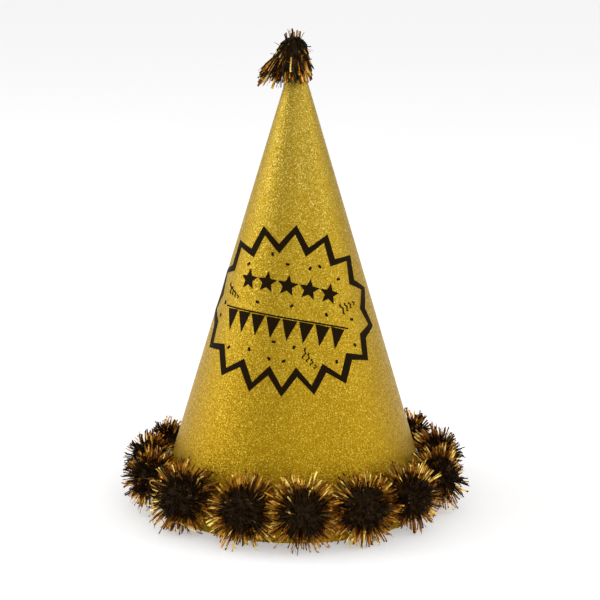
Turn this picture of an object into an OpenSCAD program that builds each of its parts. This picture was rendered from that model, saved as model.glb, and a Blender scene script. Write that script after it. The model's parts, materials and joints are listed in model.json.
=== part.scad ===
// Party cone hat: a sheet of card with a glitter face, rolled into a tall cone and lapped
// at the back, with a printed starburst on the front, a ring of tinsel pompoms glued
// round the rim and one more pushed over the tip.
// The rim stands on z = 0, the axis is Z, the front is -Y and the lap seam is at +Y.

/* [Cone] */
// Outer diameter of the cone at its rim
rim_d = 150; // [140:1:160]
// Height at which the outer faces of the cone would meet
apex_h = 249.5; // [240:0.5:260]
// Thickness of the card
board_t = 0.7; // [0.5:0.1:0.8]
// Thickness of the glitter face
cover_t = 0.3; // [0.2:0.1:0.4]
// Outer radius of the cone where its tip is cut off
tip_r = 2; // [2:0.1:3]
// Height of the glitter face's lower edge above the card's
cover_lift = 0.3; // [0.2:0.1:0.6]

/* [Lap seam] */
// Angle that the flap laps over the start of the sheet
flap_angle = 10; // [7:1:10]
// Angle of the step in which the card rises to become the flap
step_angle = 2.5; // [2:0.5:2.5]
// Thickness of the double-sided tape in the lap
tape_t = 0.1; // [0.1:0.05:0.15]

/* [Cord slits] */
// Width of the two slits for the barbed ends of a chin elastic
cord_slit_w = 5; // [4:0.5:6]
// Height of a slit's cut
cord_slit_h = 1; // [0.8:0.1:1.5]
// Height of the slits above the rim
cord_slit_z = 6; // [5:0.5:8]
// Angle of the slits from the front
cord_slit_angle = 87; // [86:0.5:88]

/* [Pompoms] */
// Number of pompoms round the rim
pompom_count = 15; // [14:1:16]
// Diameter of a rim pompom
pompom_d = 37.6; // [36:0.2:37.6]
// Radius of the ring on which the pompoms' centres lie
ring_r = 82; // [81:0.5:84]
// Height of the pompoms' centres
ring_z = 19; // [19:0.5:22]
// Angle of the first pompom from the front
first_angle = 3; // [2:0.5:4]
// Diameter of a glue dot behind a pompom
glue_d = 9; // [8:1:11]

/* [Tip pompom] */
// Radius of the skirt of strands at its lower edge
skirt_r = 14.5; // [13:0.5:15]
// Radius of the crown
crown_r = 9.5; // [8:0.5:10]
// Height of the skirt's lower edge
skirt_z = 225; // [224:0.5:227]
// Height of the crown's centre
crown_z = 245; // [244:0.5:246]
// How far the skirt hangs over to the left
skirt_shift = 5.5; // [4:0.5:6]

/* [Print] */
// Thickness of the printed film
film_t = 0.15; // [0.1:0.05:0.2]
// Distance from the tip to the middle of the print, along the cone
print_slant = 140; // [138:1:142]
// Angle of the print's middle from the front
print_angle = -9; // [-15:1:15]
// Angle by which the print is turned on the sheet
print_tilt = -7.5; // [-10:0.5:10]
// Width of the starburst
burst_w = 117; // [108:1:120]
// Height of the starburst
burst_h = 90; // [84:1:92]
// Number of points of the starburst
burst_points = 16; // [14:1:18]

/* [Hidden] */
$fn = 96;

rim_r = rim_d / 2;
half_angle = atan(rim_r / apex_h);
tip_z = apex_h * (1 - tip_r / rim_r);
seam_angle = 90;
lap_rise = board_t + cover_t + tape_t;
// Clearance outside the cone's face that also clears the flap
wall_gap = lap_rise + 0.15;
// Angle of the step in the glitter face, which lies outside the card's step
face_step_angle = 0.8;
// The sheet's first edge stays this angle clear of the step
start_gap = 0.3;
// The tape keeps this angle inside the lap, and this height inside its ends
tape_inset = 0.8;
tape_margin = 4;
tape_top = 225;

// The pompoms of a full turn, and the angle between the faces of neighbours
pompom_step = 360 / pompom_count;
pompom_gap = 0.3;
// Each pompom was set by hand, so it sits this many degrees off even spacing
hand_set = [0, -1, -2.5, -1, 1.5, 1.5, 1, 0.5, 0, 0, -0.5, -1.5, -2.5, -1, 2.5];
tie_r = 2.2;
tie_wire_r = 0.6;
tie_play = 0.1;
// Facets round a rim pompom's ball, and round the groove that its tie lies in
ball_facets = 32;
groove_facets = 24;
tip_tie_z = 248;
tip_glue_r = 3.4;
tip_glue_h = 1.5;

// The film starts this far off the glitter face, so that its facets stay clear of it
film_gap = 0.05;
burst_stroke = 5;
burst_depth_x = 6.5;
burst_depth_y = 10.5;
// The burst is turned against the rows inside it
burst_lean = 5;
burst_turn = -3;
// The points of the burst are spaced by hand: they crowd together once and twice round it
burst_crowd = 3;
burst_crowd_angle = 80;
burst_pairing = 7;
burst_pairing_angle = 46;
side_steps = 6;
star_count = 5;
star_pitch = 11.4;
star_r = 5.8;
star_row_y = 13;
pennant_count = 8;
pennant_pitch = 8.8;
pennant_w = 8;
pennant_h = 11;
pennant_top_y = -2.5;
pennant_sag = 1.2;
bunting_cord_w = 0.8;
confetti_l = 2;
confetti_w = 1.3;
confetti_above = [[-25, 21], [-11, 28], [-2, 24], [10, 24], [15, 26], [27, 22]];
confetti_between = [[-40, -1], [-15, 2], [4, 3], [23, 2], [39, 3], [-43, -8], [43, -10]];
confetti_below = [[-29, -24], [-15, -23], [-2, -17], [9, -18], [-3, -26], [5, -26], [33, -21]];
// Each spray is the middle of its longest streamer, the way to the shorter ones, and their own
// direction
sprays = [[[-37, 7], -25, -70], [[32, 7], 35, -50], [[15, -20], -40, -95]];
streamer_count = 4;
streamer_w = 0.8;
streamer_l = 6.2;
streamer_shrink = 1.3;
streamer_curl = 0.5;
streamer_pitch = 3;
streamer_steps = 24;

function pompom_name(i) = str("rim_pompom_", i < 9 ? "0" : "", i + 1);

// Angle of pompom i from +X towards +Y; i may run one past either end of the ring
function pompom_angle(i) =
    first_angle - 90 + i * pompom_step + hand_set[(i + pompom_count) % len(hand_set)];

// Radius of the surface that lies n outside the cone's face, at height z
function cone_r(z, n = 0) = rim_r * (1 - z / apex_h) + n / cos(half_angle);

function turned(p, a) = [p.x * cos(a) - p.y * sin(a), p.x * sin(a) + p.y * cos(a)];

// Where a point of the flat printed sheet lands once the sheet is rolled, n off the face
function on_cone(p, n) =
    let (flat = turned(p, print_tilt),
         up = print_slant - flat.y,
         slant = norm([flat.x, up]),
         a = print_angle + atan2(flat.x, up) / sin(half_angle),
         r = slant * sin(half_angle) + n * cos(half_angle))
    [r * sin(a), -r * cos(a), apex_h - slant * cos(half_angle) + n * sin(half_angle)];

// A closed outline with each of its sides cut into steps
function divided(outline, steps) =
    [for (i = [0 : len(outline) - 1], k = [0 : steps - 1])
        let (p = outline[i], q = outline[(i + 1) % len(outline)]) p + (q - p) * k / steps];

// The layer of the sheet between n0 and n1 outside its face, from height z0 to z1
module layer(n0, n1, z0, z1, from, to) {
    rotate_extrude(angle = to - from, start = from)
        polygon([[cone_r(z0, n0), z0], [cone_r(z0, n1), z0],
                 [cone_r(z1, n1), z1], [cone_r(z1, n0), z1]]);
}

// A layer all the way round: it runs level to its step, climbs there and ends in the flap
module rolled_layer(n0, n1, z0, z1, step_from, step_to) {
    layer(n0, n1, z0, z1, seam_angle + start_gap, step_from + 360);
    layer(n0, n1 + lap_rise, z0, z1, step_from, step_to);
    layer(n0 + lap_rise, n1 + lap_rise, z0, z1, step_to, seam_angle + flap_angle);
}

// Two blades, square to the wall, that cut the slits for the chin elastic
module cord_slit_blades() {
    for (a = [-cord_slit_angle, cord_slit_angle])
        rotate([0, 0, a - 90])
            translate([cone_r(cord_slit_z), 0, cord_slit_z])
                rotate([0, -half_angle, 0])
                    cube([10, cord_slit_w, cord_slit_h], center = true);
}

// Film between two edges that run the same way over the sheet, a on the left and b on the right
module film_strip(a, b, closed = false) {
    n = len(a);
    points = [for (i = [0 : n - 1])
        each [on_cone(a[i], film_gap), on_cone(b[i], film_gap),
              on_cone(b[i], film_gap + film_t), on_cone(a[i], film_gap + film_t)]];
    sides = [for (i = [0 : closed ? n - 1 : n - 2], k = [0 : 3])
        let (p = 4 * i, q = 4 * ((i + 1) % n), m = (k + 1) % 4)
        each [[p + k, p + m, q + k], [p + m, q + m, q + k]]];
    ends = closed ? [] : [[3, 2, 1], [3, 1, 0],
                          [4 * n - 4, 4 * n - 3, 4 * n - 2], [4 * n - 4, 4 * n - 2, 4 * n - 1]];
    polyhedron(points, concat(sides, ends));
}

// Film that fills an outline, in rings about its middle so that it follows the cone
module film_patch(outline, middle, rings = 2) {
    n = len(outline);
    levels = [film_gap, film_gap + film_t];
    points = concat(
        [for (level = levels) on_cone(middle, level)],
        [for (ring = [1 : rings], p = outline, level = levels)
            on_cone(middle + (p - middle) * ring / rings, level)]);
    function at(ring, i, top) = 2 + ((ring - 1) * n + i % n) * 2 + top;
    fans = [for (i = [0 : n - 1])
        each [[0, at(1, i, 0), at(1, i + 1, 0)], [1, at(1, i + 1, 1), at(1, i, 1)]]];
    rims = [for (ring = [1 : 1 : rings - 1], i = [0 : n - 1])
        each [[at(ring, i, 0), at(ring + 1, i, 0), at(ring + 1, i + 1, 0)],
              [at(ring, i, 0), at(ring + 1, i + 1, 0), at(ring, i + 1, 0)],
              [at(ring, i, 1), at(ring + 1, i + 1, 1), at(ring + 1, i, 1)],
              [at(ring, i, 1), at(ring, i + 1, 1), at(ring + 1, i + 1, 1)]]];
    walls = [for (i = [0 : n - 1])
        each [[at(rings, i, 0), at(rings, i, 1), at(rings, i + 1, 1)],
              [at(rings, i, 0), at(rings, i + 1, 1), at(rings, i + 1, 0)]]];
    polyhedron(points, concat(fans, rims, walls));
}

// One edge of the zigzag: tips on one ellipse, valleys on a smaller one
function zigzag(inset) =
    [for (k = [0 : 2 * burst_points - 1])
        let (even = 180 * k / burst_points,
             a = burst_turn + even + burst_crowd * (1 - cos(even - burst_crowd_angle))
                 + burst_pairing * cos(2 * (even - burst_pairing_angle)),
             dip = k % 2,
             rx = burst_w / 2 - inset - dip * burst_depth_x,
             ry = burst_h / 2 - inset - dip * burst_depth_y)
        turned([rx * cos(a), ry * sin(a)], burst_lean)];

// A round hoop of wire or thread, square to its own Z axis
module hoop(wire_r) {
    rotate_extrude()
        translate([tie_r, 0])
            circle(wire_r, $fn = $fn / 2);
}

// Puts its children at the middle of pompom i, with their Z axis pointing outwards
module at_pompom(i) {
    rotate([0, 0, pompom_angle(i)])
        translate([ring_r, 0, ring_z])
            rotate([0, 90, 0])
                children();
}

// The solid space inside the cone's face and its clearance, up to the cut tip
module cone_space(n) {
    rotate_extrude()
        polygon([[0, 0], [cone_r(0, n), 0], [cone_r(tip_z, n), tip_z], [0, tip_z]]);
}

module board_cone() {
    color("ivory")
        difference() {
            rolled_layer(-cover_t - board_t, -cover_t, 0, tip_z,
                         seam_angle - step_angle, seam_angle);
            cord_slit_blades();
        }
}

module glitter_cover() {
    color("goldenrod")
        difference() {
            rolled_layer(-cover_t, 0, cover_lift, tip_z,
                         seam_angle - step_angle - face_step_angle, seam_angle - step_angle);
            cord_slit_blades();
        }
}

module seam_tape() {
    color("gainsboro")
        layer(0, tape_t, tape_margin, tape_top,
              seam_angle + tape_inset, seam_angle + flap_angle - tape_inset);
}

module burst_outline() {
    color([0.1, 0.09, 0.08])
        film_strip(divided(zigzag(burst_stroke), side_steps), divided(zigzag(0), side_steps),
                   closed = true);
}

// A row of five-pointed stars
module star_row() {
    color([0.1, 0.09, 0.08])
        for (i = [0 : star_count - 1]) {
            middle = [(i - (star_count - 1) / 2) * star_pitch, star_row_y];
            star = [for (k = [0 : 9])
                middle + star_r * (k % 2 == 0 ? 1 : 0.45) * [cos(90 + 36 * k), sin(90 + 36 * k)]];
            film_patch(divided(star, 2), middle);
        }
}

// Height of the bunting's cord at x
function bunting_y(x) =
    pennant_top_y + pennant_sag * (pow(2 * x / (pennant_count * pennant_pitch), 2) - 1);

// A string of pennants
module pennant_row() {
    color([0.1, 0.09, 0.08]) {
        for (i = [0 : pennant_count - 1]) {
            x = (i - (pennant_count - 1) / 2) * pennant_pitch;
            y = bunting_y(x) - bunting_cord_w;
            flag = [[x - pennant_w / 2, y], [x, y - pennant_h], [x + pennant_w / 2, y]];
            film_patch(divided(flag, 4), [x, y - pennant_h / 3]);
        }
        reach = pennant_count * pennant_pitch / 2 + 2;
        xs = [for (k = [-12 : 12]) reach * k / 12];
        film_strip([for (x = xs) [x, bunting_y(x) + bunting_cord_w / 2]],
                   [for (x = xs) [x, bunting_y(x) - bunting_cord_w / 2]]);
    }
}

// Short dashes scattered between the rows, each turned its own way
module confetti() {
    all = concat(confetti_above, confetti_between, confetti_below);
    color([0.1, 0.09, 0.08])
        for (i = [0 : len(all) - 1]) {
            corner = function(sx, sy)
                all[i] + turned([sx * confetti_l / 2, sy * confetti_w / 2], 35 + 70 * i);
            film_strip([corner(-1, 1), corner(1, 1)], [corner(-1, -1), corner(1, -1)]);
        }
}

// Sprays of curly streamers, each shorter than the one before it
module streamers() {
    color([0.1, 0.09, 0.08])
        for (s = sprays, lane = [0 : streamer_count - 1]) {
            line = function(t, side)
                s[0] + turned([streamer_pitch * lane, 0], s[1])
                     + turned([streamer_curl * sin(540 * t) + side,
                               (streamer_l - streamer_shrink * lane) * (t - 0.5)], s[2] - 90);
            ts = [for (k = [0 : streamer_steps]) k / streamer_steps];
            film_strip([for (t = ts) line(t, -streamer_w / 2)],
                       [for (t = ts) line(t, streamer_w / 2)]);
        }
}

// A ball of tinsel, flattened against the wall and against its neighbours
module rim_pompom(i) {
    from = (pompom_angle(i - 1) + pompom_angle(i)) / 2 + pompom_gap / 2;
    to = (pompom_angle(i) + pompom_angle(i + 1)) / 2 - pompom_gap / 2;
    top = ring_z + pompom_d;
    far = ring_r + pompom_d;
    color([0.2, 0.13, 0.06])
        difference() {
            intersection() {
                // The ball's poles lie along the ring, where its neighbours' faces cut them off
                at_pompom(i) rotate([90, 0, 0]) sphere(d = pompom_d, $fn = ball_facets);
                rotate_extrude(angle = to - from, start = from)
                    polygon([[cone_r(0, wall_gap), 0], [far, 0],
                             [far, top], [cone_r(top, wall_gap), top]]);
            }
            at_pompom(i) hoop(tie_wire_r + tie_play, $fn = groove_facets);
        }
}

// The threads that bind the strands in the middle of each rim pompom
module pompom_ties() {
    color("black")
        for (i = [0 : pompom_count - 1])
            at_pompom(i) hoop(tie_wire_r);
}

// A dot of hot glue between the wall and each rim pompom
module glue_dots() {
    color([0.9, 0.88, 0.8])
        intersection() {
            layer(0, wall_gap, cover_lift, 2 * ring_z, 0, 360);
            for (i = [0 : pompom_count - 1])
                rotate([0, 0, pompom_angle(i)])
                    translate([cone_r(ring_z), 0, ring_z])
                        rotate([0, 90 - half_angle, 0])
                            cylinder(d = glue_d, h = 10, center = true);
        }
}

// A bell of tinsel whose skirt hangs down over the tip, further on the left
module tip_pompom() {
    lean = atan(skirt_shift / (crown_z - skirt_z));
    skirt_h = (crown_z - skirt_z) / cos(lean);
    color([0.2, 0.13, 0.06])
        difference() {
            translate([0, 0, crown_z]) {
                sphere(crown_r);
                rotate([0, lean, 0])
                    translate([0, 0, -skirt_h])
                        cylinder(r1 = skirt_r, r2 = crown_r, h = skirt_h);
            }
            cone_space(wall_gap);
            translate([0, 0, tip_z - 1]) cylinder(r = tip_glue_r, h = tip_glue_h + 1);
            translate([0, 0, tip_tie_z]) hoop(tie_wire_r + tie_play);
        }
}

module tip_tie() {
    color("black")
        translate([0, 0, tip_tie_z]) hoop(tie_wire_r);
}

// The blob of hot glue on the cut tip
module tip_glue() {
    color([0.9, 0.88, 0.8])
        translate([0, 0, tip_z]) cylinder(r = tip_glue_r, h = tip_glue_h);
}

board_cone();
glitter_cover();
seam_tape();
burst_outline();
star_row();
pennant_row();
confetti();
streamers();
pompom_ties();
glue_dots();
tip_pompom();
tip_tie();
tip_glue();
for (i = [0 : pompom_count - 1])
    rim_pompom(i);
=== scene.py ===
"""Looks of the party cone hat: a glitter cone with tinsel pompoms round its rim and on its tip."""

import json
import math

import bpy
import numpy as np
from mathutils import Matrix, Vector


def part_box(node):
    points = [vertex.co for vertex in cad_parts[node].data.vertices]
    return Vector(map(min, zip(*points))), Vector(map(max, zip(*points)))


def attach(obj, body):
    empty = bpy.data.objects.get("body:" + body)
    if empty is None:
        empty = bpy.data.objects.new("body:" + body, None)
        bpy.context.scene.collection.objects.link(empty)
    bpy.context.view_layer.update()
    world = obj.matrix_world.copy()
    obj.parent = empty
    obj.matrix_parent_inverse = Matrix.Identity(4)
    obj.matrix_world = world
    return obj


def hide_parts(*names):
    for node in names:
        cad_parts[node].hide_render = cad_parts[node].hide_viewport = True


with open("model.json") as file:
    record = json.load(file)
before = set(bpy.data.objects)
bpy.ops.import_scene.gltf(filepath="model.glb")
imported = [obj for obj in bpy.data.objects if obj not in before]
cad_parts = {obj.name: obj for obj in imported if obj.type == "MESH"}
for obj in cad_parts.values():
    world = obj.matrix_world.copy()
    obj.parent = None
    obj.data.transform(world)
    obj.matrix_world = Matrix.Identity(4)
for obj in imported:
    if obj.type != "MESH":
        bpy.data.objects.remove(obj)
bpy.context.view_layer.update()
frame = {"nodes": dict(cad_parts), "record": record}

MM = 0.001
UP = np.array([0.0, 0.0, 1.0])

# ---------------------------------------------------------------- the cone, read from the frame

TIP_R = 2 * MM  # outer radius where the cone's tip is cut off
face_low, face_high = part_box("glitter_cover")
SLOPE = (face_high[0] - TIP_R) / (face_high[2] - face_low[2])
APEX_Z = face_high[2] + TIP_R / SLOPE
COS_A = math.cos(math.atan(SLOPE))
SEAM = math.pi / 2  # the lap seam is at the back
FACE_T = 0.3 * MM  # thickness of the glitter face
LAP_RISE = 1.1 * MM  # how far the lapped flap stands out from the rest of the face
FLAP_ANGLE = math.radians(10)  # how far the flap reaches past the seam
STEP_FROM, STEP_TO = math.radians(-4.2), math.radians(-2.5)  # where the face climbs onto the lap
START_GAP = math.radians(0.3)  # between the seam and the face's covered end
SLITS = [mount for mount in frame["record"]["mounts"] if mount["name"].startswith("cord_slit")]


def wall_r(z, n=0.0):
    """Radius at height z of the surface that lies n outside the cone's face."""
    return SLOPE * (APEX_Z - z) + n / COS_A


def off_wall(points):
    """How far each point lies outside the cone's face."""
    return (np.hypot(points[:, 0], points[:, 1]) - wall_r(points[:, 2])) * COS_A


def wall_normal(points):
    """The outward normals of the cone's face next to the points."""
    around = points[:, :2] / np.maximum(np.hypot(points[:, 0], points[:, 1]), 1e-6)[:, None]
    rise = SLOPE * COS_A
    return np.column_stack([around * COS_A, np.full(len(points), rise)])


# ---------------------------------------------------------------- mesh helpers


class Build:
    """Collects vertices and faces, with a material for each face, for one mesh object."""

    def __init__(self):
        self.points, self.faces, self.slots, self.count = [], [], [], 0

    def add(self, points, faces, slots):
        """Adds faces over the points, with a material number for each face."""
        base = self.count
        self.points.append(np.asarray(points, float))
        self.faces += [tuple(base + i for i in face) for face in faces]
        self.slots += slots
        self.count += len(points)

    def object(self, name, materials, smooth=False):
        mesh = bpy.data.meshes.new(name)
        mesh.from_pydata(np.concatenate(self.points).tolist(), [], self.faces)
        for material in materials:
            mesh.materials.append(material)
        mesh.polygons.foreach_set("material_index", self.slots)
        mesh.polygons.foreach_set("use_smooth", [smooth] * len(self.faces))
        mesh.update()
        piece = bpy.data.objects.new(name, mesh)
        bpy.context.scene.collection.objects.link(piece)
        return piece


def unit(v):
    """v, brought to length 1."""
    return v / max(float(np.linalg.norm(v)), 1e-12)


def strip_faces(rings):
    """Faces of a closed thin strip made of rings of three corners."""
    faces = [(2, 1, 0)]
    for k in range(rings - 1):
        a, b = 3 * k, 3 * k + 3
        faces += [(a + i, a + (i + 1) % 3, b + (i + 1) % 3, b + i) for i in range(3)]
    faces.append((3 * rings - 3, 3 * rings - 2, 3 * rings - 1))
    return faces


STRIP_FACES = {rings: strip_faces(rings) for rings in (3, 5)}


def strip(build, path, width, thick, side, slots):
    """A thin folded strip of film along path. slots gives a material for each stretch of it."""
    tangents = np.gradient(path, axis=0)
    corners = []
    for point, tangent in zip(path, tangents):
        along = unit(tangent)
        across = unit(side - along * (side @ along))
        out = np.cross(along, across)
        corners += [point - across * width / 2, point + across * width / 2, point + out * thick]
    sides = [slot for slot in slots for _ in range(3)]
    build.add(corners, STRIP_FACES[len(path)], [slots[0]] + sides + [slots[-1]])


# ---------------------------------------------------------------- materials


def new_material(name):
    """A material with its node tree and its shader."""
    material = bpy.data.materials.new(name)
    material.use_nodes = True
    nodes = material.node_tree.nodes
    return material, material.node_tree, nodes["Principled BSDF"]


def node(tree, kind, **inputs):
    """A new node with its named inputs set."""
    made = tree.nodes.new(kind)
    for key, value in inputs.items():
        made.inputs[key.replace("_", " ")].default_value = value
    return made


def texture(tree, kind, **inputs):
    """A texture in the object's own coordinates, with its named inputs set."""
    place = tree.nodes.new("ShaderNodeTexCoord")
    made = node(tree, kind, **inputs)
    tree.links.new(place.outputs["Object"], made.inputs["Vector"])
    return made


def noise(tree, scale, detail=2.0, roughness=0.5):
    return texture(tree, "ShaderNodeTexNoise", Scale=scale, Detail=detail, Roughness=roughness)


def ramp(tree, source, stops):
    """A colour ramp over source, with (position, colour) stops."""
    made = tree.nodes.new("ShaderNodeValToRGB")
    elements = made.color_ramp.elements
    while len(elements) < len(stops):
        elements.new(0.5)
    for element, (at, colour) in zip(elements, stops):
        element.position = at
        element.color = (*colour, 1.0)
    tree.links.new(source, made.inputs["Fac"])
    return made.outputs["Color"]


def value_range(tree, source, low, high, from_low=0.0, from_high=1.0):
    """source, mapped from its own range to low..high."""
    made = node(tree, "ShaderNodeMapRange", From_Min=from_low, From_Max=from_high,
                To_Min=low, To_Max=high)
    tree.links.new(source, made.inputs["Value"])
    return made.outputs["Result"]


def bump(tree, height, strength, distance):
    """A normal that stands up by distance where height is 1."""
    made = node(tree, "ShaderNodeBump", Strength=strength, Distance=distance)
    tree.links.new(height, made.inputs["Height"])
    return made.outputs["Normal"]


def flakes(tree, size):
    """Cells of about the given size, each with a random colour."""
    return texture(tree, "ShaderNodeTexVoronoi", Scale=1 / size, Randomness=1.0)


def vector_math(tree, operation, *terms):
    """The operation's result on the terms, each of them a socket or a fixed vector."""
    made = tree.nodes.new("ShaderNodeVectorMath")
    made.operation = operation
    for socket, term in zip(made.inputs, terms):
        if isinstance(term, bpy.types.NodeSocket):
            tree.links.new(term, socket)
        else:
            socket.default_value = term
    return made.outputs[0]


def tilted_normal(tree, random_colour, tilt):
    """The surface's normal, tipped at random in each cell."""
    shape = tree.nodes.new("ShaderNodeNewGeometry")
    centred = vector_math(tree, "SUBTRACT", random_colour, (0.5, 0.5, 0.5))
    tipped = vector_math(tree, "MULTIPLY", centred, (tilt, tilt, tilt))
    added = vector_math(tree, "ADD", shape.outputs["Normal"], tipped)
    return vector_math(tree, "NORMALIZE", added)


def glitter_material():
    """Gold flakes, each tipped its own way, so that a few of them catch the light.

    The gold is painted a little paler towards the tip and redder towards the rim: painted light
    from above at the top and a painted reflection of the amber pompoms low down.
    """
    flake_size, flake_tilt = 0.42 * MM, 0.34
    material, tree, shader = new_material("gold_glitter")
    cells = flakes(tree, flake_size)
    split = tree.nodes.new("ShaderNodeSeparateColor")
    tree.links.new(cells.outputs["Color"], split.inputs["Color"])
    colour = ramp(tree, split.outputs["Green"], [
        (0.0, (0.30, 0.182, 0.010)), (0.4, (0.43, 0.281, 0.022)),
        (0.85, (0.55, 0.398, 0.044)), (1.0, (0.85, 0.72, 0.26))])
    place = tree.nodes.new("ShaderNodeTexCoord")
    axes = tree.nodes.new("ShaderNodeSeparateXYZ")
    tree.links.new(place.outputs["Object"], axes.inputs[0])
    height = value_range(tree, axes.outputs["Z"], 0.0, 1.0, 0.0, APEX_Z)
    # painted light and reflection: the gold is made paler up the cone and redder down by the
    # pompoms
    painted_light_tint = ramp(tree, height, [
        (0.08, (0.97, 0.84, 0.22)), (0.55, (1.0, 0.94, 0.5)), (0.85, (1.0, 1.0, 1.0))])
    polish = value_range(tree, split.outputs["Blue"], 0.42, 0.58)
    normal = tilted_normal(tree, cells.outputs["Color"], flake_tilt)
    tree.links.new(vector_math(tree, "MULTIPLY", colour, painted_light_tint), shader.inputs["Base Color"])
    tree.links.new(polish, shader.inputs["Roughness"])
    tree.links.new(normal, shader.inputs["Normal"])
    shader.inputs["Metallic"].default_value = 0.95
    return material


def film_material():
    """Black film pressed over the glitter, so that the grain shows through its satin face."""
    grain_size, grain_tilt = 0.9 * MM, 0.15
    material, tree, shader = new_material("black_film")
    cells = flakes(tree, grain_size)
    grain = noise(tree, 1500)
    colour = ramp(tree, grain.outputs["Fac"], [
        (0.3, (0.010, 0.005, 0.001)), (0.7, (0.017, 0.009, 0.003))])
    tree.links.new(colour, shader.inputs["Base Color"])
    polish = value_range(tree, grain.outputs["Fac"], 0.4, 0.55)
    normal = tilted_normal(tree, cells.outputs["Color"], grain_tilt)
    tree.links.new(polish, shader.inputs["Roughness"])
    tree.links.new(normal, shader.inputs["Normal"])
    shader.inputs["Specular IOR Level"].default_value = 0.02
    return material


def card_material():
    """Uncoated white card with faint fibres."""
    material, tree, shader = new_material("card")
    fibres = noise(tree, 900, 6.0, 0.7)
    clouds = noise(tree, 25, 3.0)
    colour = ramp(tree, clouds.outputs["Fac"], [
        (0.3, (0.74, 0.71, 0.64)), (0.7, (0.82, 0.80, 0.74))])
    tree.links.new(colour, shader.inputs["Base Color"])
    tree.links.new(bump(tree, fibres.outputs["Fac"], 0.35, 0.1 * MM), shader.inputs["Normal"])
    shader.inputs["Roughness"].default_value = 0.88
    return material


def tinsel_material(name, dark, light, rough, metal):
    """Metallised film whose colour and polish drift along the strands."""
    material, tree, shader = new_material(name)
    drift = noise(tree, 420)
    colour = ramp(tree, drift.outputs["Fac"], [(0.35, dark), (0.65, light)])
    polish = value_range(tree, drift.outputs["Fac"], rough, rough + 0.15, 0.3, 0.7)
    tree.links.new(colour, shader.inputs["Base Color"])
    tree.links.new(polish, shader.inputs["Roughness"])
    shader.inputs["Metallic"].default_value = metal
    shader.inputs["Specular IOR Level"].default_value = 0.12
    return material


def glue_material():
    """Set hot glue, milky and slightly glossy."""
    material, tree, shader = new_material("hot_glue")
    cloud = noise(tree, 300, 3.0)
    colour = ramp(tree, cloud.outputs["Fac"], [
        (0.3, (0.50, 0.42, 0.27)), (0.7, (0.64, 0.57, 0.42))])
    tree.links.new(colour, shader.inputs["Base Color"])
    tree.links.new(bump(tree, cloud.outputs["Fac"], 0.4, 0.3 * MM), shader.inputs["Normal"])
    shader.inputs["Roughness"].default_value = 0.3
    shader.inputs["Subsurface Weight"].default_value = 0.15
    shader.inputs["Subsurface Radius"].default_value = (0.004, 0.003, 0.002)
    return material


def tape_material():
    """The paper-thin edge of double-sided tape."""
    material, tree, shader = new_material("tape")
    fibres = noise(tree, 1200, 4.0)
    colour = ramp(tree, fibres.outputs["Fac"], [
        (0.3, (0.70, 0.69, 0.64)), (0.7, (0.80, 0.79, 0.75))])
    tree.links.new(colour, shader.inputs["Base Color"])
    shader.inputs["Roughness"].default_value = 0.6
    return material


def thread_material():
    """Black thread with its twist as a fine wave."""
    material, tree, shader = new_material("thread")
    twist = texture(tree, "ShaderNodeTexWave", Scale=900, Distortion=2.0)
    colour = ramp(tree, twist.outputs["Fac"], [
        (0.2, (0.008, 0.008, 0.008)), (0.8, (0.03, 0.03, 0.03))])
    tree.links.new(colour, shader.inputs["Base Color"])
    tree.links.new(bump(tree, twist.outputs["Fac"], 0.5, 0.2 * MM), shader.inputs["Normal"])
    shader.inputs["Roughness"].default_value = 0.8
    return material


GLITTER = glitter_material()
FILM = film_material()
CARD = card_material()
TAPE = tape_material()
THREAD = thread_material()
GLUE = glue_material()
CORE = tinsel_material("tinsel_core", (0.020, 0.009, 0.002), (0.036, 0.016, 0.004), 0.7, 0.0)
BLACK = tinsel_material("tinsel_black", (0.013, 0.007, 0.002), (0.030, 0.016, 0.005), 0.5, 0.0)
COPPER = tinsel_material("tinsel_copper", (0.14, 0.045, 0.005), (0.40, 0.15, 0.018), 0.3, 1.0)
BRONZE = tinsel_material("tinsel_bronze", (0.40, 0.16, 0.015), (0.80, 0.43, 0.058), 0.26, 1.0)
GOLD = tinsel_material("tinsel_gold", (0.80, 0.54, 0.085), (1.0, 0.80, 0.24), 0.22, 1.0)
TINSEL = [CORE, BLACK, COPPER, BRONZE, GOLD]
IN_CORE, IN_BLACK, IN_COPPER, IN_BRONZE, IN_GOLD = range(5)

# ---------------------------------------------------------------- camera, light and floor


CAMERA_AIM = Vector((0, 0, 0.1115))
CAMERA_ELEVATION = math.radians(13.4)
CAMERA_ROLL = math.radians(0.27)
CAMERA_LENS, CAMERA_SENSOR = 110.8, 36  # millimetres
CAMERA_SHIFT = 0.0078
LIGHT_AIM = Vector((0, 0, 0.1))
SOFT_BOXES = [  # name, place, size in metres and power in watts
    ("left_box", (-1.5, 0.1, 0.75), 1.3, 10),
    ("right_box", (1.6, -0.3, 0.8), 1.2, 6.5),
    ("front_box", (0.5, -2.0, 1.2), 1.5, 8),
]
SKY_STRENGTH = 0.6
FLOOR_HALF = 15.0  # metres
FLOOR_GLOW = 0.36  # a little light of its own keeps the floor as pale as the background


def add_camera():
    """A view from the front and a little above, from 1 m off the hat's middle."""
    data = bpy.data.cameras.new("camera")
    data.lens = CAMERA_LENS
    data.sensor_width = CAMERA_SENSOR
    data.shift_x = CAMERA_SHIFT
    camera = bpy.data.objects.new("camera", data)
    away = Vector((0, -math.cos(CAMERA_ELEVATION), math.sin(CAMERA_ELEVATION)))
    camera.location = CAMERA_AIM + away
    camera.rotation_euler = (math.pi / 2 - CAMERA_ELEVATION, 0, 0)
    camera.rotation_euler.rotate_axis("Z", CAMERA_ROLL)
    bpy.context.scene.collection.objects.link(camera)
    bpy.context.scene.camera = camera


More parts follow.
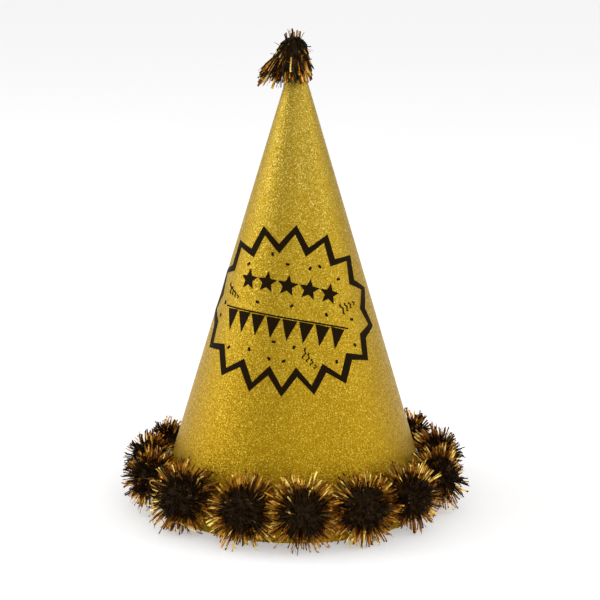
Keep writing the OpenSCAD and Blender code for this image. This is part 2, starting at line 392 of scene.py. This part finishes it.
def add_light(name, at, size, power):
    """A square soft box aimed at the hat."""
    data = bpy.data.lights.new(name, "AREA")
    data.size = size
    data.energy = power
    light = bpy.data.objects.new(name, data)
    light.location = at
    light.rotation_euler = (LIGHT_AIM - Vector(at)).to_track_quat("-Z", "Y").to_euler()
    bpy.context.scene.collection.objects.link(light)


def add_floor():
    """A wide pale floor."""
    half = FLOOR_HALF
    build = Build()
    build.add([(-half, -half, 0), (half, -half, 0), (half, half, 0), (-half, half, 0)],
              [(0, 1, 2, 3)], [0])
    material, _, shader = new_material("floor")
    shader.inputs["Base Color"].default_value = (0.9, 0.9, 0.9, 1)
    shader.inputs["Roughness"].default_value = 0.9
    shader.inputs["Emission Color"].default_value = (1, 1, 1, 1)
    shader.inputs["Emission Strength"].default_value = FLOOR_GLOW
    build.object("floor", [material])


def add_world():
    """Even white light from all round."""
    world = bpy.data.worlds.new("studio")
    world.use_nodes = True
    background = world.node_tree.nodes["Background"]
    background.inputs["Color"].default_value = (1, 1, 1, 1)
    background.inputs["Strength"].default_value = SKY_STRENGTH
    bpy.context.scene.world = world


add_camera()
add_world()
add_floor()
for soft_box in SOFT_BOXES:
    add_light(*soft_box)
bpy.context.scene.view_settings.view_transform = "Standard"

# ---------------------------------------------------------------- the glitter face

ROUND_STEPS, STEP_STEPS, FLAP_STEPS = 420, 10, 22  # angles round the cone, on the step, on the flap
FACE_ROWS = 40
SHARP_ANGLE = math.radians(35)


def slit_spans():
    """The lowest and highest angle, and the lowest and highest height, of each slit in the cone."""
    spans = []
    for mount in SLITS:
        x, y, z = mount["pos_m"]
        angle = math.atan2(y, x) % (2 * math.pi)
        half_w = mount["dims"]["slot_length_mm"] * MM / 2 / math.hypot(x, y)
        half_h = mount["dims"]["hole_r_mm"] * MM * COS_A
        spans.append((angle - half_w, angle + half_w, z - half_h, z + half_h))
    return spans


def glitter_face():
    """The glitter face as one rolled sheet: all round, up over the card's step, then the flap."""
    spans = slit_spans()
    start, step_from, step_to, end = (SEAM + turn for turn in (
        START_GAP, 2 * math.pi + STEP_FROM, 2 * math.pi + STEP_TO, 2 * math.pi + FLAP_ANGLE))
    angles = np.concatenate([np.linspace(start, step_from, ROUND_STEPS),
                             np.linspace(step_from, step_to, STEP_STEPS),
                             np.linspace(step_to, end, FLAP_STEPS)])
    heights = np.linspace(face_low[2], face_high[2], FACE_ROWS)
    for left, right, bottom, top in spans:
        angles = np.append(angles[(angles < left) | (angles > right)], [left, right])
        heights = np.append(heights[(heights < bottom) | (heights > top)], [bottom, top])
    angles, heights = np.unique(angles.round(9)), np.unique(heights.round(9))
    t = np.clip((angles - step_from) / (step_to - step_from), 0, 1)
    rise = LAP_RISE * t * t * (3 - 2 * t)
    points = []
    for z in heights:
        for depth in (0, -FACE_T):
            r = wall_r(z, rise + depth)
            points.append(np.column_stack([r * np.cos(angles), r * np.sin(angles),
                                           np.full(len(angles), z)]))
    columns, rows = len(angles) - 1, len(heights) - 1

    def solid(row, column):
        """False past the sheet's edges and inside a slit."""
        if not (0 <= row < rows and 0 <= column < columns):
            return False
        a = (angles[column] + angles[column + 1]) / 2
        z = (heights[row] + heights[row + 1]) / 2
        return not any(left < a < right and bottom < z < top for left, right, bottom, top in spans)

    faces = []
    for row in range(rows):
        for column in range(columns):
            if not solid(row, column):
                continue
            o, i = ([(2 * (row + up) + depth) * (columns + 1) + column + side
                     for up, side in ((0, 0), (0, 1), (1, 1), (1, 0))] for depth in (0, 1))
            faces += [(o[0], o[1], o[2], o[3]), (i[3], i[2], i[1], i[0])]
            if not solid(row - 1, column):
                faces.append((o[1], o[0], i[0], i[1]))
            if not solid(row + 1, column):
                faces.append((o[3], o[2], i[2], i[3]))
            if not solid(row, column - 1):
                faces.append((i[0], o[0], o[3], i[3]))
            if not solid(row, column + 1):
                faces.append((o[1], i[1], i[2], o[2]))
    build = Build()
    build.add(np.concatenate(points), faces, [0] * len(faces))
    piece = build.object("glitter_face", [GLITTER], smooth=True)
    piece.data.set_sharp_from_angle(angle=SHARP_ANGLE)
    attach(piece, "root")
    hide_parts("glitter_cover")


# ---------------------------------------------------------------- tinsel

STRAND_W = 0.95 * MM
STRAND_T = 0.12 * MM
WALL_ROOM, FLOOR_ROOM = 0.5 * MM, 0.3 * MM  # least room between a strand and the wall or floor
WALL_PLAY_MM, FLOOR_PLAY_MM = 1.2, 0.5  # the most that chance adds to that room
FLAP_MIDDLE, FLAP_HALF = 93, 9  # where the raised flap lies, in degrees round the cone
MINGLE = 4.5 * MM  # how far the strands of neighbouring pompoms reach in among each other
TURN = 2.4  # radians from one strand or pompom to the next, so that no two line up


def level(around):
    """The level direction away from the cone's axis at an angle."""
    return np.array([math.cos(around), math.sin(around), 0])


def clear_of_wall(path, rng):
    """path, pushed out where it would go through the cone or its flap."""
    around = np.degrees(np.arctan2(path[:, 1], path[:, 0]))
    lap = np.where(np.abs(around - FLAP_MIDDLE) < FLAP_HALF, LAP_RISE, 0)
    room = WALL_ROOM + rng.random() * WALL_PLAY_MM * MM + lap
    short = np.maximum(room - off_wall(path), 0)
    return path + wall_normal(path) * short[:, None]


def clear_of_floor(path, rng):
    """path, lifted where it would go through the floor."""
    path = path.copy()
    path[:, 2] = np.maximum(path[:, 2], FLOOR_ROOM + rng.random() * FLOOR_PLAY_MM * MM)
    return path


def clear_of_neighbours(path, planes):
    """path, pushed back where it would reach far past the planes halfway to the neighbours."""
    for normal in planes:
        over = np.maximum(path @ normal - MINGLE, 0)
        path = path - over[:, None] * normal
    return path


def lumpy_core(build, shape, rows, columns, rng, lump=0.35 * MM):
    """A closed dark core: shape(u, v) gives its points for u, v in 0..1, each moved a little."""
    points = [shape(0, 0)]
    for row in range(1, rows):
        for column in range(columns):
            points.append(shape(row / rows, column / columns) + rng.normal(0, lump, 3))
    points.append(shape(1, 0))
    faces = [(0, 1 + c, 1 + (c + 1) % columns) for c in range(columns)]
    for row in range(rows - 2):
        a, b = 1 + row * columns, 1 + (row + 1) * columns
        faces += [(a + c, b + c, b + (c + 1) % columns, a + (c + 1) % columns)
                  for c in range(columns)]
    last, end = 1 + (rows - 2) * columns, len(points) - 1
    faces += [(last + (c + 1) % columns, last + c, end) for c in range(columns)]
    build.add(points, faces, [IN_CORE] * len(faces))


def strand_slots(rng, coloured):
    """Materials along a strand: a black root, then mostly colour for the given share of strands.
    The black root and the black tips of some strands are painted shade, deep in a pompom and where
    strands are seen end-on.
    """
    if rng.random() >= coloured:
        return [IN_BLACK, IN_BLACK, IN_BLACK, IN_COPPER if rng.random() < 0.15 else IN_BLACK]
    pick, end = rng.random(), rng.random()
    tip = IN_BLACK if end < 0.22 else IN_COPPER if end < 0.65 else IN_BRONZE
    if pick < 0.2:
        return [IN_BLACK, IN_BRONZE, IN_GOLD, IN_GOLD if end < 0.5 else IN_BRONZE]
    if pick < 0.62:
        return [IN_BLACK, IN_COPPER, IN_BRONZE, tip]
    return [IN_BLACK, IN_COPPER, IN_COPPER, tip]


def spread(count, rng, turn):
    """Directions spread evenly over a sphere, with a little disorder."""
    k = np.arange(count) + 0.5
    z = 1 - 2 * k / count
    angle = k * math.pi * (3 - math.sqrt(5)) + turn  # one golden angle after another
    flat = np.sqrt(1 - z * z)
    found = np.column_stack([flat * np.cos(angle), flat * np.sin(angle), z])
    found += rng.normal(0, 0.12, found.shape)
    return found / np.linalg.norm(found, axis=1)[:, None]


# How full each pompom is, from the front round by the right: those at the back are crushed
FULLNESS = [1.1, 1.08, 1.02, 0.97, 0.95, 0.92, 0.9, 0.9, 0.9, 0.85, 0.76, 0.88, 0.95, 1.1, 1.1]
# The dark core is painted shade: a black ball standing in for the shaded depth of the pompom
CORE_SHARE = 0.52  # the core's radius as a share of the pompom's
BACK_REACH = 1.3  # how far the core is drawn out towards the wall, as a share of the way to it
PRESSED = 0.8  # the strands that point away from the wall are pressed in by this factor
# The black middles are painted shade: they face forward and up, towards the camera, where strands
# are seen end-on
PAINTED_SHADE_LEAN = np.array([0, -0.5, 0.15])  # the black middles face this much forward and up
GLUED = -0.8  # strands that point at the wall more squarely than this are left out
RIM_SEED, TIP_SEED = 100, 7
CORE_ROWS, CORE_COLUMNS = 14, 22
SHORT_STRANDS, TUFTS, TUFT_SIZE = 380, 170, 3
# Where a tuft's strand has its points, in shares of its reach, and how much of its bend each takes
TUFT_STEPS = np.array([0.45, 0.6, 0.78, 0.94, 1.0])
TUFT_CURL = np.array([0, 0.2, 0.5, 0.85, 1.1])
# The same for the few strands that curl over
CURLED_STEPS = np.array([0.45, 0.62, 0.8, 0.86, 0.85])
CURLED_CURL = np.array([0, 0.1, 0.4, 2.2, 2.8])
CURLED_BELOW, LONG_BELOW, LONG = 0.015, 0.05, 1.1  # few strands curl over, and a few are longer


def rim_pompom(index, centre, radius, planes):
    """One tinsel pompom: a dark core, short black strands and tufts of longer, coloured ones. The
    dark core and the short black strands are painted shade deep in the pompom.
    """
    rng = np.random.default_rng(RIM_SEED + index)
    build = Build()
    outward = wall_normal(centre[None])[0]
    middle = unit(outward + PAINTED_SHADE_LEAN)
    radius = radius * FULLNESS[index % len(FULLNESS)]
    core_r = CORE_SHARE * radius
    core_back = BACK_REACH * off_wall(centre[None])[0]

    def press(path):
        """path, pressed in where it points away from the wall."""
        away = np.maximum((path - centre) @ outward, 0)
        return path - (1 - PRESSED) * away[..., None] * outward

    def place(path):
        path = clear_of_neighbours(clear_of_wall(press(path), rng), planes)
        return clear_of_floor(path, rng)

    def ball(u, v):
        """The core: a ball that is drawn out at the back, where the glue holds it to the wall."""
        around, down = 2 * math.pi * v, math.pi * u
        arm = core_r * np.array([math.sin(down) * math.cos(around),
                                 math.sin(down) * math.sin(around), math.cos(down)])
        back = max(-(arm @ outward), 0)
        arm -= (core_back / core_r - 1) * back * outward
        return clear_of_wall(press(centre + arm)[None], rng)[0]

    # painted shade: a dark core, then short all-black strands round it
    lumpy_core(build, ball, CORE_ROWS, CORE_COLUMNS, rng)
    for direction in spread(SHORT_STRANDS, rng, index):
        if direction @ outward < GLUED:
            continue
        reach = radius * rng.uniform(0.58, 0.72)
        bend = np.cross(direction, rng.normal(0, 1, 3)) * radius * 0.06
        steps = np.linspace(0.35 * radius, reach, 3)
        path = centre + direction * steps[:, None] + bend * np.array([0, 0.3, 1])[:, None]
        strip(build, place(path), STRAND_W * 1.3, STRAND_T, rng.normal(0, 1, 3), [IN_BLACK] * 2)
    for lead in spread(TUFTS, rng, TURN * index):
        if lead @ outward < GLUED:
            continue
        # painted shade: strands facing the black middle seldom get colour, while those further
        # round keep it
        facing = lead @ middle
        coloured = 0.1 if facing > 0.8 else 0.5 if facing > 0.6 else 0.97
        slots = strand_slots(rng, coloured)
        tuft_reach = radius * (1.06 - 0.24 * rng.random() ** 1.5)
        tuft_bend = np.cross(lead, rng.normal(0, 1, 3)) * radius * rng.uniform(0.02, 0.13)
        for _ in range(TUFT_SIZE):
            direction = unit(lead + rng.normal(0, 0.075, 3))
            reach = tuft_reach * rng.uniform(0.9, 1.04)
            bend = tuft_bend + rng.normal(0, 0.02, 3) * radius
            steps, curl = TUFT_STEPS * reach, TUFT_CURL
            stray = rng.random()
            if stray < CURLED_BELOW:
                steps, curl = CURLED_STEPS * reach, CURLED_CURL
            elif stray < LONG_BELOW:
                steps = steps * LONG
            path = centre + direction * steps[:, None] + bend * curl[:, None]
            own = slots if rng.random() < 0.7 else strand_slots(rng, coloured)
            strip(build, place(path), STRAND_W * rng.uniform(0.55, 1.0), STRAND_T,
                  rng.normal(0, 1, 3), own)
    piece = build.object(f"tinsel_{index + 1:02d}", TINSEL)
    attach(piece, "root")
    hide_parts(f"rim_pompom_{index + 1:02d}")


CAP_FROM = 0.88  # above this share of a pompom's height, nothing cuts its ball


def pompom_centre(name):
    """The middle and radius of a rim pompom's ball, from the cap that nothing cuts."""
    low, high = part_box(name)
    mesh = frame["nodes"][name].data
    points = np.empty(3 * len(mesh.vertices))
    mesh.vertices.foreach_get("co", points)
    points = points.reshape(-1, 3)
    cap = points[points[:, 2] > low[2] + CAP_FROM * (high[2] - low[2])]
    middle = (cap.min(axis=0) + cap.max(axis=0)) / 2
    return np.array([middle[0], middle[1], (low[2] + high[2]) / 2]), (high[2] - low[2]) / 2


def rim_pompoms():
    """All the rim's pompoms, each kept apart from its two neighbours by the planes between them."""
    names = sorted(name for name in frame["nodes"] if name.startswith("rim_pompom_"))
    found = [pompom_centre(name) for name in names]
    for i, (centre, radius) in enumerate(found):
        planes = []
        for other in (found[i - 1][0], found[(i + 1) % len(found)][0]):
            between = unit(unit(centre * [1, 1, 0]) + unit(other * [1, 1, 0]))
            normal = unit(np.cross(UP, between))
            planes.append(normal if normal @ other > 0 else -normal)
        rim_pompom(i, centre, radius, planes)


# ---------------------------------------------------------------- the tip pompom

DOME_H, DOME_R = 18.5 * MM, 10 * MM
DOME_TOP_IN = 1.2 * MM  # how far the bell's top lies below the CAD bell's, and left of the axis
DOME_LEAN, DOME_TILT = 3.4 * MM, 1.5 * MM  # how far the hem lies to the left, and drops there
DOME_SHARE = 0.6  # the share of the core's rows on the bell's outer face
HANGING, UPRIGHT, STRAYS, CROSSING = 640, 20, 22, 3  # strands of each sort
# Where a hanging strand has its points, in shares of its reach, and how far each of them sags
HANG_STEPS = np.array([-0.15, 0.2, 0.5, 0.8, 1.0])
HANG_SAG = np.array([0, 0.02, 0.08, 0.2, 0.3])


def tip_pompom():
    """Tinsel gathered over the tip and combed down like a bell that hangs further on the left."""
    rng = np.random.default_rng(TIP_SEED)
    top = np.array([-DOME_TOP_IN, 0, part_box("tip_pompom")[1][2] - DOME_TOP_IN])
    hem_z = top[2] - DOME_H
    glue_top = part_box("tip_glue")[1][2]
    build = Build()

    def dome(u, around):
        """A point of the bell's outer face, u down from its top."""
        fall = u ** 1.25
        left = -math.cos(around)
        return (top + np.array([-DOME_LEAN, 0, -DOME_H - DOME_TILT * left]) * fall
                + level(around) * DOME_R * math.sqrt(u))

    def bell(u, v):
        """The core: down the bell's outer face, then up inside it along the cone, over the glue."""
        around = 2 * math.pi * v
        if u < DOME_SHARE:
            return dome(u / DOME_SHARE, around)
        up = (u - DOME_SHARE) / (1 - DOME_SHARE)
        z = hem_z + (glue_top + 1.2 * MM - hem_z) * min(up * 1.25, 1)
        r = wall_r(min(z, face_high[2]), 1.6 * MM) * min((1 - up) * 5, 1)
        return np.array([r * math.cos(around), r * math.sin(around), z])

    def hang(start, direction, reach, sag, width, slots):
        """One strand from start, which sags by the given share of its reach."""
        steps = HANG_STEPS * reach
        drop = -UP * HANG_SAG[:, None] * reach * sag
        path = start + direction * steps[:, None] + drop
        strip(build, clear_of_wall(path, rng), width, STRAND_T, rng.normal(0, 1, 3), slots)

    lumpy_core(build, bell, 20, 26, rng, 0.15 * MM)
    for k in range(HANGING):
        u = 0.02 + 0.95 * ((k + rng.random()) / HANGING) ** 0.8
        around = TURN * k + rng.normal(0, 0.2)
        left = -math.cos(around)
        start = dome(u, around)
        out = unit(level(around) + 0.1 * UP + rng.normal(0, 0.22, 3))
        down = unit(dome(min(u + 0.05, 1), around) - start)
        if u < 0.5:
            direction = unit(down + out * rng.uniform(0.1, 0.5))
            hang(start, direction, rng.uniform(3, 5) * MM, 0.5, STRAND_W * rng.uniform(0.8, 1.3),
                 strand_slots(rng, 0.02 if u < 0.25 else 0.16))
            continue
        direction = unit(down + out * (rng.uniform(0.05, 0.6) + 0.6 * max(left, 0)))
        reach = rng.uniform(5.5, 9) * MM * (1 + 0.15 * left) * (1.25 - 0.4 * u)
        # painted light and shade: more strands get colour on the left and right, where they are
        # seen side-on and catch the side lamps, and fewer front and back
        slots = strand_slots(rng, 0.25 + 0.4 * abs(left))
        hang(start, direction, reach, 1.0,
             STRAND_W * rng.uniform(0.7, 1.1) * (1.5 if IN_GOLD in slots else 1), slots)
    for k in range(UPRIGHT):
        around = TURN * k
        out = level(around)
        start = dome(rng.uniform(0, 0.2), around) - UP * MM
        direction = unit(UP + out * rng.uniform(0, 0.45) + rng.normal(0, 0.1, 3))
        hang(start, direction, rng.uniform(4, 6) * MM, 0, STRAND_W * 0.9, strand_slots(rng, 0.5))
    for k in range(STRAYS):
        around = TURN * k + 1
        start = dome(rng.uniform(0.15, 0.9), around)
        direction = unit(level(around) + UP * rng.normal(0.1, 0.5))
        hang(start, direction, rng.uniform(3.5, 5.5) * MM, 0.5, STRAND_W * 0.6,
             strand_slots(rng, 0.4))
    for _ in range(CROSSING):
        around = -math.pi / 2 + rng.uniform(-0.9, 0.4)
        out = level(around)
        start = dome(rng.uniform(0.6, 0.95), around) + out * 1.2 * MM
        direction = unit(np.cross(UP, out) + UP * rng.uniform(-0.3, 0.1))
        hang(start, direction, 4 * MM, 0.3, STRAND_W * 0.5, [IN_COPPER] * 4)
    piece = build.object("tinsel_tip", TINSEL)
    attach(piece, "root")
    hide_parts("tip_pompom")


# ---------------------------------------------------------------- CAD nodes that stay


def dress(name, material):
    """Gives a CAD node its procedural material."""
    for slot in frame["nodes"][name].material_slots:
        slot.material = material


glitter_face()
rim_pompoms()
tip_pompom()
dress("board_cone", CARD)
dress("seam_tape", TAPE)
for printed in ("burst_outline", "star_row", "pennant_row", "confetti", "streamers"):
    dress(printed, FILM)
dress("pompom_ties", THREAD)
dress("tip_tie", THREAD)
dress("glue_dots", GLUE)
dress("tip_glue", GLUE)
